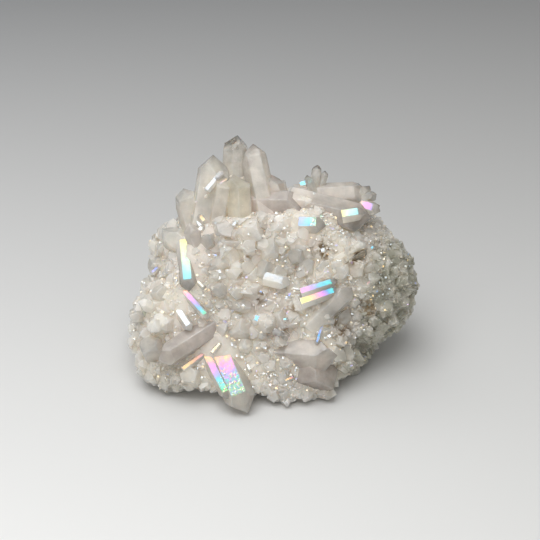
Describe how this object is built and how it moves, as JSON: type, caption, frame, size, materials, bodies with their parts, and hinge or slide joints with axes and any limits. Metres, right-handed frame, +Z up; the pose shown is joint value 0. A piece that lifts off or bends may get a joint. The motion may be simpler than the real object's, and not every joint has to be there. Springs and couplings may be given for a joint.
{
  "type": "opalescent quartz cluster",
  "caption": "Natural cluster of milky, iridescent-coated quartz crystals on a rough root mass with a flat base, for display.",
  "frame": {"origin": "on the flat underside, straight below the middle of the root mass", "axes": "+Z up from the flat underside, +X to the right across the crystal-covered face, which looks towards -Y and leans back"},
  "size_m": [0.1045, 0.0738, 0.0765],
  "materials": {
    "quartz": "milky translucent quartz with flat glossy crystal faces, some with a thin rainbow coating"
  },
  "bodies": {
    "root": {"quartz_cluster": "quartz"}
  },
  "joints": []
}
